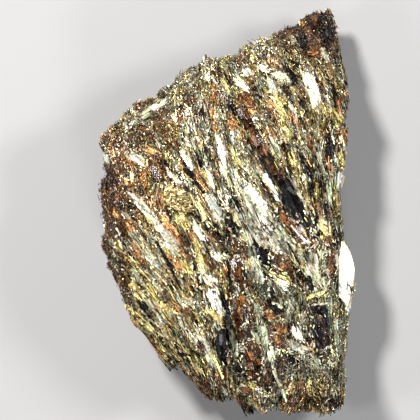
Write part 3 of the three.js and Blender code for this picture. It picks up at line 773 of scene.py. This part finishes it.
def noiseNode(tree, vector, scale, detail=3.0, roughness=0.6):
    node = tree.nodes.new("ShaderNodeTexNoise")
    node.inputs["Scale"].default_value = scale
    node.inputs["Detail"].default_value = detail
    node.inputs["Roughness"].default_value = roughness
    tree.links.new(vector, node.inputs["Vector"])
    return node


def rampNode(tree, value, stops):
    node = tree.nodes.new("ShaderNodeValToRGB")
    ramp = node.color_ramp
    for end, (position, colour) in ((0, stops[0]), (1, stops[-1])):
        ramp.elements[end].position, ramp.elements[end].color = position, (*colour, 1)
    for position, colour in stops[1:-1]:
        ramp.elements.new(position).color = (*colour, 1)
    tree.links.new(value, node.inputs["Fac"])
    return node.outputs["Color"]


def addBump(tree, height, strength, distance):
    bump = tree.nodes.new("ShaderNodeBump")
    bump.inputs["Strength"].default_value = strength
    bump.inputs["Distance"].default_value = distance * mm
    tree.links.new(height, bump.inputs["Height"])
    tree.links.new(bump.outputs["Normal"], tree.nodes["Principled BSDF"].inputs["Normal"])


# the noises: scale, detail and roughness. Those of the stain are per metre, and its patches have a size in mm
striationSpec = {"linesPerMm": 12.0, "alongShare": 0.35, "lines": (1.0, 2.0), "flaws": (1.6, 4.0, 0.7)}
stainSpec = {"size": 2.5, "patch": (1.0, 4.0), "speck": (3200, 2.0), "hackle": (5200, 1.0)}
castStops = [(0.0, (1.0, 0.74, 0.7)), (0.2, (1, 0.95, 0.9)), (0.45, (1, 1, 0.88)), (0.75, (0.87, 1.0, 0.66)),
             (0.86, (0.9, 0.96, 0.92)), (1.0, (0.7, 0.85, 1.0))]


def striationGroup():
    # fine lines along a blade from its own UV map, and flaws across it
    spec = striationSpec
    group, take, give = newGroup("bladeStriation", [("Lines per mm", "NodeSocketFloat", spec["linesPerMm"])],
                                 [("Height", "NodeSocketFloat"), ("Flaw", "NodeSocketFloat")])
    uvMap = group.nodes.new("ShaderNodeUVMap")
    uvMap.uv_map = "UVMap"
    parts = group.nodes.new("ShaderNodeSeparateXYZ")
    group.links.new(uvMap.outputs["UV"], parts.inputs[0])
    joined = group.nodes.new("ShaderNodeCombineXYZ")
    for axis, factor in (("X", spec["alongShare"]), ("Y", take.outputs["Lines per mm"])):
        group.links.new(mathNode(group, "MULTIPLY", parts.outputs[axis], factor), joined.inputs[axis])
    lines = noiseNode(group, joined.outputs[0], *spec["lines"])
    flaws = noiseNode(group, uvMap.outputs["UV"], *spec["flaws"])
    group.links.new(lines.outputs["Fac"], give.inputs["Height"])
    group.links.new(flaws.outputs["Fac"], give.inputs["Flaw"])
    return group


def stainGroup():
    # broad patches of tarnish, specks of grime and a hackly relief, in the object's own space
    group, take, give = newGroup("stain", [("Size mm", "NodeSocketFloat", stainSpec["size"])],
                                 [(label, "NodeSocketFloat") for label in ("Patch", "Speck", "Hackle")])
    place = group.nodes.new("ShaderNodeTexCoord").outputs["Object"]
    patch = noiseNode(group, place, *stainSpec["patch"])
    group.links.new(mathNode(group, "DIVIDE", 1 / mm, take.outputs["Size mm"]), patch.inputs["Scale"])
    speck = noiseNode(group, place, *stainSpec["speck"])
    hackle = noiseNode(group, place, *stainSpec["hackle"])
    for label, noise in (("Patch", patch), ("Speck", speck), ("Hackle", hackle)):
        group.links.new(noise.outputs["Fac"], give.inputs[label])
    return group


def tintGroup():
    # the cast of each blade, from pink through white and lime to blue
    group, take, give = newGroup("bladeTint", [("Colour", "NodeSocketColor", (1, 1, 1, 1))],
                                 [("Colour", "NodeSocketColor")])
    mix = group.nodes.new("ShaderNodeMix")
    mix.data_type, mix.blend_type = "RGBA", "MULTIPLY"
    mix.inputs["Factor"].default_value = 1
    group.links.new(take.outputs["Colour"], mix.inputs["A"])
    group.links.new(rampNode(group, attributeNode(group, "tint"), castStops), mix.inputs["B"])
    group.links.new(mix.outputs["Result"], give.inputs["Colour"])
    return group


striation = striationGroup()
bladeTint = tintGroup()
stain = stainGroup()

# for each finish: the colours from its darkest blade to its palest, and how it shines
finishLooks = {
    "dark": {"colours": [(0.002, 0.0015, 0.0015), (0.007, 0.005, 0.005), (0.045, 0.022, 0.017)],
             "metal": 0.0, "rough": 0.22, "ior": 1.3},
    "amber": {"colours": [(0.006, 0.002, 0.001), (0.066, 0.023, 0.006), (0.34, 0.14, 0.03)],
              "metal": 0.0, "rough": 0.16, "ior": 1.55},
    "rust": {"colours": [(0.012, 0.004, 0.0015), (0.2, 0.075, 0.026), (0.7, 0.34, 0.13)],
             "metal": 0.4, "rough": 0.26, "ior": 1.5},
    "bronze": {"colours": [(0.02, 0.011, 0.003), (0.28, 0.19, 0.09), (0.8, 0.64, 0.38)],
               "metal": 0.6, "rough": 0.26, "ior": 1.6},
    "gold": {"colours": [(0.055, 0.032, 0.006), (0.51, 0.395, 0.13), (0.95, 0.86, 0.43)],
             "metal": 0.6, "rough": 0.26, "ior": 1.6},
    "silver": {"colours": [(0.045, 0.04, 0.028), (0.47, 0.435, 0.32), (0.93, 0.905, 0.76)],
               "metal": 0.55, "rough": 0.24, "ior": 1.6},
    # the near-white finish of the flashing plates: a painted highlight, bright under any lamp
    "pearl": {"colours": [(0.34, 0.32, 0.27), (0.8, 0.78, 0.72), (0.94, 0.93, 0.9)],
              "metal": 0.05, "rough": 0.24, "ior": 1.6},
    "green": {"colours": [(0.024, 0.027, 0.018), (0.25, 0.27, 0.2), (0.68, 0.72, 0.59)],
              "metal": 0.2, "rough": 0.26, "ior": 1.6},
    "cream": {"colours": [(0.04, 0.036, 0.025), (0.29, 0.265, 0.2), (0.61, 0.585, 0.51)],
              "metal": 0.15, "rough": 0.26, "ior": 1.6},
    "glass": {"colours": [(0.002, 0.0018, 0.0022), (0.014, 0.0135, 0.017), (0.09, 0.083, 0.095)],
              "metal": 0.0, "rough": 0.16, "ior": 1.2, "bump": 0.3},
}
# how the marks show on every blade: "lines", "patches" and "specks" shift the tone, and flaws roughen it
bladeMarks = {"linesPerMm": 8.0, "patchSize": 2.2, "lines": 0.9, "patches": 0.8, "specks": 1.2,
              "stops": (0.05, 0.5, 0.95), "flaws": 0.3, "smoother": 0.12, "lineBump": 0.5, "bumpDepth": 0.06}
# the stone between the blades, near black: its own dark colour, darkened further as painted shade in the gaps
# between the blades
matrixLook = {"patchSize": 1.4, "specks": 0.7, "metal": 0.3, "rough": 0.2, "speckRough": 0.4,
              "bump": 0.6, "bumpDepth": 0.1,
              "stops": [(0.3, (0.006, 0.004, 0.003)), (0.5, (0.03, 0.015, 0.008)),
                        (0.62, (0.09, 0.045, 0.02)), (0.75, (0.14, 0.12, 0.08))]}


def newMaterial(name):
    material = bpy.data.materials.new(name)
    material.use_nodes = True
    return material, material.node_tree, material.node_tree.nodes["Principled BSDF"].inputs


def bladeMaterial(name, look):
    spec = bladeMarks
    material, tree, inputs = newMaterial(name + "Crystal")
    lines = groupNode(tree, striation, "Lines per mm", spec["linesPerMm"])
    marks = groupNode(tree, stain, "Size mm", spec["patchSize"])
    tone = shifted(tree, attributeNode(tree, "tone"), lines.outputs["Height"], spec["lines"])
    tone = shifted(tree, tone, marks.outputs["Patch"], spec["patches"])
    tone = shifted(tree, tone, marks.outputs["Speck"], spec["specks"])
    cast = groupNode(tree, bladeTint)
    tree.links.new(rampNode(tree, tone, list(zip(spec["stops"], look["colours"]))), cast.inputs["Colour"])
    tree.links.new(cast.outputs["Colour"], inputs["Base Color"])
    smoothest = look["rough"] - spec["smoother"]
    rough = mathNode(tree, "MULTIPLY_ADD", lines.outputs["Flaw"], spec["flaws"], smoothest)
    tree.links.new(rough, inputs["Roughness"])
    height = mathNode(tree, "MULTIPLY", lines.outputs["Height"], spec["lineBump"])
    height = mathNode(tree, "ADD", height, marks.outputs["Hackle"])
    addBump(tree, height, look.get("bump", 1.0), spec["bumpDepth"])
    inputs["Base Color"].default_value = (*look["colours"][1], 1)
    inputs["Metallic"].default_value = look["metal"]
    inputs["IOR"].default_value = look["ior"]
    return material


def matrixMaterial():
    look = matrixLook
    material, tree, inputs = newMaterial("matrixStone")
    marks = groupNode(tree, stain, "Size mm", look["patchSize"])
    tone = shifted(tree, marks.outputs["Patch"], marks.outputs["Speck"], look["specks"])
    tree.links.new(rampNode(tree, tone, look["stops"]), inputs["Base Color"])
    rough = mathNode(tree, "MULTIPLY_ADD", marks.outputs["Speck"], look["speckRough"], look["rough"])
    tree.links.new(rough, inputs["Roughness"])
    addBump(tree, marks.outputs["Speck"], look["bump"], look["bumpDepth"])
    inputs["Metallic"].default_value = look["metal"]
    return material


print("stage: materials")
materials = {name: bladeMaterial(name, look) for name, look in finishLooks.items()}

# the mass between the blades. "drawn" are places of the outline drawn out or in a little: where, how far
# around and by how much; what lies lower than "rest" stays flat on the ground
massSpec = {"voxel": 0.36, "merge": 0.002, "ruffle": 0.22, "sink": 0.12, "rest": 0.15, "drawn": [
    ((12.3, 24.4), 2.6, (0.35, 0.55)), ((-6.4, 14.7), 1.1, (-0.4, 0.65)), ((14.8, 6.2), 1.4, (-0.5, 0.0)),
    ((14.3, 10.2), 1.2, (0.5, 0.0)), ((0.0, 20.0), 2.0, (0.2, -0.6)), ((-15.8, 9.0), 1.0, (0.5, -0.2)),
    ((-13.3, 11.9), 1.4, (0.25, -0.3)), ((-14.6, 5.7), 0.9, (-0.5, 0.0)), ((-15.3, 2.6), 1.8, (0.25, 0.0)),
    ((-15.2, -2.0), 1.2, (0.3, 0.0)), ((-14.1, -5.4), 1.2, (-0.65, -0.1)),
    ((-12.5, -10.8), 1.0, (-0.35, -0.1)),
    ((-9.6, -15.4), 1.5, (0.3, 0.35)), ((14.7, -17.6), 1.0, (-0.4, 0.0)), ((14.3, -20.4), 1.0, (0.3, 0.0)),
    ((7.5, -23.4), 1.6, (0.0, -0.35)), ((8.7, 23.8), 1.4, (0.1, -0.3)),
]}


def meshValues(items, key, width):
    # a row of numbers for each vertex or face
    values = np.empty(len(items) * width)
    items.foreach_get(key, values)
    return values.reshape(-1, width)


def crystalMatrix():
    # a copy of the solid, remeshed evenly, ruffled and sunk a little under the blades
    mesh = stone.data.copy()
    bm = bmesh.new()
    bm.from_mesh(mesh)
    bmesh.ops.remove_doubles(bm, verts=bm.verts[:], dist=massSpec["merge"] * mm)
    bm.to_mesh(mesh)
    bm.free()
    piece = addPiece("crystalMatrix", mesh, matrixMaterial())
    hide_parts("crystal_mass")
    remesh = piece.modifiers.new("even", "REMESH")
    remesh.mode = "VOXEL"
    remesh.voxel_size = massSpec["voxel"] * mm
    shaped = bpy.data.meshes.new_from_object(piece.evaluated_get(bpy.context.evaluated_depsgraph_get()))
    piece.modifiers.clear()
    shaped.materials.clear()
    shaped.materials.append(mesh.materials[0])
    piece.data = shaped
    bpy.data.meshes.remove(mesh)
    shaped.name = "crystalMatrix"
    points = meshValues(shaped.vertices, "co", 3) / mm
    normals = meshValues(shaped.vertices, "normal", 3)
    moved = points + normals * (around(len(points), massSpec["ruffle"]) - massSpec["sink"])[:, None]
    for place, reach, shift in massSpec["drawn"]:
        near = np.exp(-(np.linalg.norm(points[:, :2] - place, axis=1) / reach) ** 2)
        moved[:, :2] += near[:, None] * shift
    moved[:, 2] = np.where(points[:, 2] < massSpec["rest"], 0.0, np.maximum(moved[:, 2], 0.0))
    shaped.vertices.foreach_set("co", (moved * mm).ravel())
    shaped.update()
    return piece, points, normals


print("stage: mass")
massPiece, massPoints, massNormals = crystalMatrix()
print("  mass", trianglesOf(massPiece.data), "triangles")
lowestBlade = 0.1  # no blade stands on the resting face


def massFaces():
    # the middle, normal and area of each face of the mass that a blade may stand on
    faces = massPiece.data.polygons
    middles = meshValues(faces, "center", 3) / mm
    corner = np.array([face.vertices[0] for face in faces])
    areas = meshValues(faces, "area", 1)[:, 0]
    return middles, massNormals[corner], np.where(middles[:, 2] < lowestBlade, 0.0, areas)


faceMiddles, faceNormals, faceAreas = massFaces()
faceGrains = grainsAt(faceMiddles)
faceClear = streakClear[streakAt(faceMiddles)]
frontBlades = {"above": 0.3, "denser": 1.5}  # from which normal on, and how much denser the blades lie there


def surfaceSamples(count, spec):
    # points spread over the mass with their normals: more where the set's kind of blade belongs
    share = spec["onRuns"] * (1 - faceGrains) + spec["onGrains"] * faceGrains
    weight = faceAreas * share * (1 - spec["keepsClear"] * faceClear)
    weight = weight * np.where(faceNormals[:, 2] > frontBlades["above"], frontBlades["denser"], 1)
    picked = random.choice(len(weight), size=count, p=weight / weight.sum())
    return faceMiddles[picked] + around((count, 3), massSpec["voxel"]), faceNormals[picked]


massTree = KDTree(len(massPoints))
for i, point in enumerate(massPoints):
    massTree.insert(Vector(point), i)
massTree.balance()
standOff = {"farthest": 0.32, "shortest": 0.1, "from": 0.8}


def keptShort(spots, along, length, lying):
    # a longer blade that would stand off where the mass curves away is shortened
    long = np.flatnonzero(lying & (length > standOff["from"]))
    off = np.zeros(len(length))
    for end in (-0.5, 0.5):
        tips = spots[long] + along[long] * (length[long] * end)[:, None]
        near = np.array([massTree.find(Vector(tip))[1] for tip in tips], int)
        off[long] = np.maximum(off[long], dots(tips - massPoints[near], massNormals[near]))
    return length * np.sqrt(np.clip(standOff["farthest"] / np.maximum(off, tiny), standOff["shortest"], 1))


# what all sets of blades share. On grains they are shorter and thinner and lie more at random; end on they
# are shorter; chips are small blades that lie flat there; "glint" says how often blades of flashing streaks
# mirror the key light, how far any blade must face it to do so, and how unevenly it is turned
habit = {
    "grainLength": 0.75, "grainWidth": 0.25, "grainWobble": 2.5, "grainRoll": 0.4, "endOnLength": 0.5,
    "lengthPower": 2.0, "widthPower": 1.6, "chipLength": 0.6, "chipStretch": 1.3, "chipWidth": 1.5,
    "deepest": -0.05, "streakPull": 1.5, "mostRoll": 1.1, "glint": (0.8, 0.4, 0.1),
}


def bladeSet(spec):
    # where each blade of a set lies, its size and its turn
    count = spec["count"]
    spots, normals = surfaceSamples(count, spec)
    grain = grainAt(spots)
    endOn = dots(grain, normals)
    grains = grainsAt(spots)
    lying = np.abs(endOn) < spec["endOnPast"]
    lean = np.where(lying, 1 - spec["lift"] * random.random(count), 0.0)
    along = grain - normals * (endOn * lean)[:, None]
    # where the grain meets the surface end on, most small blades are chips that lie flat
    chips = ~lying & (random.random(count) < spec["chips"])
    along[chips] = unit(np.cross(normals, random.normal(size=(count, 3))))[chips]
    sway = random.normal(size=(count, 3)) * (spec["wobble"] * (1 + habit["grainWobble"] * grains))[:, None]
    along = unit(along + sway - normals * (dots(sway, normals) * spec["flat"])[:, None])
    along *= np.where(dots(along, normals) < habit["deepest"], -1, 1)[:, None]
    owner = streakAt(spots)
    line = streakLine[owner] * np.sign(dots(streakLine[owner], along) + tiny)[:, None]
    line = unit(line - normals * dots(line, normals)[:, None])
    along = unit(along + line * np.where(owner >= 0, habit["streakPull"], 0)[:, None])
    length = spread(count, *spec["length"], habit["lengthPower"]) * (1 - habit["grainLength"] * grains)
    length *= np.where(lying, 1, habit["endOnLength"])
    width = spread(count, *spec["width"], habit["widthPower"]) * (1 - habit["grainWidth"] * grains)
    length[chips] = np.minimum(length[chips], habit["chipLength"]) * habit["chipStretch"]
    width[chips] *= habit["chipWidth"]
    depth = width * spread(count, *spec["depthShare"])
    roll = random.normal(size=count) * spec["roll"] * (1 + habit["grainRoll"] * grains)
    roll = np.clip(roll, -habit["mostRoll"], habit["mostRoll"])
    side = unit(np.cross(normals, along))
    outward = unit(np.cross(along, side) * np.cos(roll)[:, None] + side * np.sin(roll)[:, None])
    often, facing, uneven = habit["glint"]
    glints = random.random(count) < np.where(streakFlashes[owner], often, spec["glints"])
    glints &= normals @ glance > facing
    outward[glints] = unit(glance + random.normal(size=(count, 3)) * uneven)[glints]
    proud = spread(count, *spec["proud"]) * np.where(lying, 1, spec["endProud"])
    length = keptShort(spots, along, length, lying)
    rise = np.abs(dots(along, normals))
    middle = spots + normals * (proud - depth / 2 - length / 2 * rise)[:, None]
    return {"middle": middle, "along": along, "outward": outward, "spot": spots, "owner": owner,
            "size": np.stack([length, width, depth], axis=1)}


streakTones = 0.2  # how much the tone of small blades varies in a streak


def inStreaks(blades, loose):
    # blades that lie in a streak mostly take its finish and tone
    owner = blades["owner"]
    takes = (owner >= 0) & (random.random(len(owner)) < streakHold[owner] ** loose)
    blades["finish"] = np.where(takes, streakFinish[owner], blades["finish"])
    tones = streakTone[owner] + random.normal(size=len(owner)) * streakTones
    blades["tone"] = np.clip(np.where(takes, tones, blades["tone"]), 0, 1)
    return blades


# What all sets of blades start from. "proud" is how far they stand out, and "endProud" the share of it
# where the grain meets the surface end on, past the slope "endOnPast"; "depthShare" is depth as a share of
# width; "onRuns" and "onGrains" say where they are dense, and "keepsClear" how well they keep off streaks;
# "loose" is the power that a streak's hold is raised to.
anySet = {"depthShare": (0.5, 0.9), "endOnPast": 0.6, "onRuns": 1, "keepsClear": 1, "chips": 0.9, "roll": 0.5}

print("stage: bundles")
bundleSpec = {**anySet, "count": 2600, "length": (1.5, 5.0), "width": (0.35, 0.9), "depthShare": (0.3, 0.5),
              "proud": (0.05, 0.3), "endProud": 0.2, "lift": 0.12, "wobble": 0.04, "roll": 0.35, "flat": 0.5,
              "onGrains": 0.3, "chips": 0, "glints": 0.05, "loose": 0.5}
# the share of small blades that take the finish of the bundle under them, and how their tone is mixed from
# that bundle's and their own
bundleFollow = {"finish": 0.45, "tone": 0.42, "own": 0.58}

bundles = bladeSet(bundleSpec)
bundles["finish"] = pickFinish(bundles["spot"])
bundles["tone"] = random.random(bundleSpec["count"])
inStreaks(bundles, bundleSpec["loose"])
axisShares = (-0.33, 0.0, 0.33)
axisPoints = KDTree(bundleSpec["count"] * len(axisShares))
for i in range(bundleSpec["count"]):
    for share in axisShares:
        place = bundles["middle"][i] + bundles["along"][i] * bundles["size"][i, 0] * share
        axisPoints.insert(Vector(place), i)
axisPoints.balance()
addBlades("Bundles", bundleTemplate(), bundles)


def dressed(spec):
    # a set of small blades with their finish and tone, often those of the bundle under them
    blades = bladeSet(spec)
    count = spec["count"]
    nearest = np.array([axisPoints.find(Vector(spot))[1] for spot in blades["spot"]])
    follows = random.random(count) < bundleFollow["finish"]
    blades["finish"] = np.where(follows, bundles["finish"][nearest], pickFinish(blades["spot"]))
    ownTone = bundleFollow["own"] * random.random(count)
    blades["tone"] = bundleFollow["tone"] * bundles["tone"][nearest] + ownTone + toneAndPaintedShadeAt(blades["spot"])
    return inStreaks(blades, spec["loose"])


print("stage: laths")
lathSpec = {**anySet, "count": 26000, "length": (0.5, 2.8), "width": (0.07, 0.24), "proud": (0.03, 0.34),
            "endProud": 0.1, "lift": 0.22, "wobble": 0.07, "roll": 0.55, "flat": 0.6, "endOnPast": 0.65,
            "onGrains": 0.3, "chips": 0.7, "glints": 0.08, "loose": 1}
addBlades("Laths", splinterTemplate(), dressed(lathSpec))

print("stage: shards")
shardSpec = {**anySet, "count": 52000, "length": (0.3, 1.6), "width": (0.1, 0.3), "proud": (0.06, 0.38),
             "endProud": 0.15, "lift": 0.3, "wobble": 0.14, "roll": 0.6, "flat": 0.7, "endOnPast": 0.65,
             "onGrains": 0.5, "glints": 0.09, "loose": 1.3}
addBlades("Shards", flakeTemplate(), dressed(shardSpec))

print("stage: needles")
# thin dark needles among the blades: painted shade for the near-black gaps between the fibres
needleSpec = {**anySet, "count": 7000, "length": (1.0, 4.0), "width": (0.07, 0.18), "proud": (0.12, 0.36),
              "endProud": 0, "lift": 0.08, "wobble": 0.04, "flat": 0.6, "onGrains": 0.4, "chips": 0.8,
              "glints": 0, "palest": 0.6}


def darkNeedles():
    needles = bladeSet(needleSpec)
    needles["finish"] = np.full(needleSpec["count"], finishes.index("dark"))
    needles["tone"] = random.random(needleSpec["count"]) * needleSpec["palest"]
    return needles


addBlades("Needles", splinterTemplate(), darkNeedles())

print("stage: flakes")
flakeSpec = {**anySet, "count": 58000, "length": (0.15, 0.52), "width": (0.12, 0.34),
             "depthShare": (0.4, 0.8), "proud": (0.04, 0.32), "endProud": 0.5, "lift": 0.2, "wobble": 0.25,
             "flat": 0.75, "onRuns": 0.45, "onGrains": 1, "keepsClear": 0.6, "glints": 0.08, "loose": 2.2}
addBlades("Flakes", flakeTemplate(), dressed(flakeSpec))

print("stage: packs")
addBlades("Packs", stripTemplate(), allPacks())
for name in ("cream", "pearl"):
    addEdgeSheets(name)


def floorPlane():
    bm = bmesh.new()
    bmesh.ops.create_grid(bm, x_segments=1, y_segments=1, size=studio["floorSize"] * mm / 2)
    mesh = bpy.data.meshes.new("floor")
    bm.to_mesh(mesh)
    bm.free()
    material, *rest, inputs = newMaterial("paleFloor")
    inputs["Base Color"].default_value = (*studio["floorColour"], 1)
    inputs["Roughness"].default_value = studio["floorRough"]
    mesh.materials.append(material)
    floor = bpy.data.objects.new("floor", mesh)
    bpy.context.scene.collection.objects.link(floor)


def areaLight(spec):
    light = bpy.data.lights.new(spec["name"], "AREA")
    light.shape = "DISK"
    light.size = spec["size"] * mm
    light.energy = spec["watts"]
    light.color = spec["colour"]
    lamp = bpy.data.objects.new(spec["name"], light)
    lamp.location = Vector(spec["at"]) * mm
    aim = Vector((0, 0, studio["focusHeight"] * mm)) - lamp.location
    lamp.rotation_euler = aim.to_track_quat("-Z", "Y").to_euler()
    bpy.context.scene.collection.objects.link(lamp)


def topCamera():
    data = bpy.data.cameras.new("camera")
    data.sensor_width = studio["sensor"]
    data.lens = studio["sensor"] * studio["viewHeight"] / studio["fieldWidth"]
    data.clip_start = studio["clipStart"] * mm
    camera = bpy.data.objects.new("camera", data)
    x, y = studio["frameMiddle"]
    camera.location = (x * mm, y * mm, (studio["viewHeight"] + studio["focusHeight"]) * mm)
    bpy.context.scene.collection.objects.link(camera)
    bpy.context.scene.camera = camera


def dimWorld():
    world = bpy.data.worlds.new("studio")
    world.use_nodes = True
    background = world.node_tree.nodes["Background"].inputs
    background["Color"].default_value = (1, 1, 1, 1)
    background["Strength"].default_value = studio["world"]
    bpy.context.scene.world = world


print("stage: studio")
floorPlane()
for spec in studio["lights"]:
    areaLight(spec)
dimWorld()
topCamera()
bpy.context.scene.view_settings.view_transform = "Standard"

print("stage: finish")
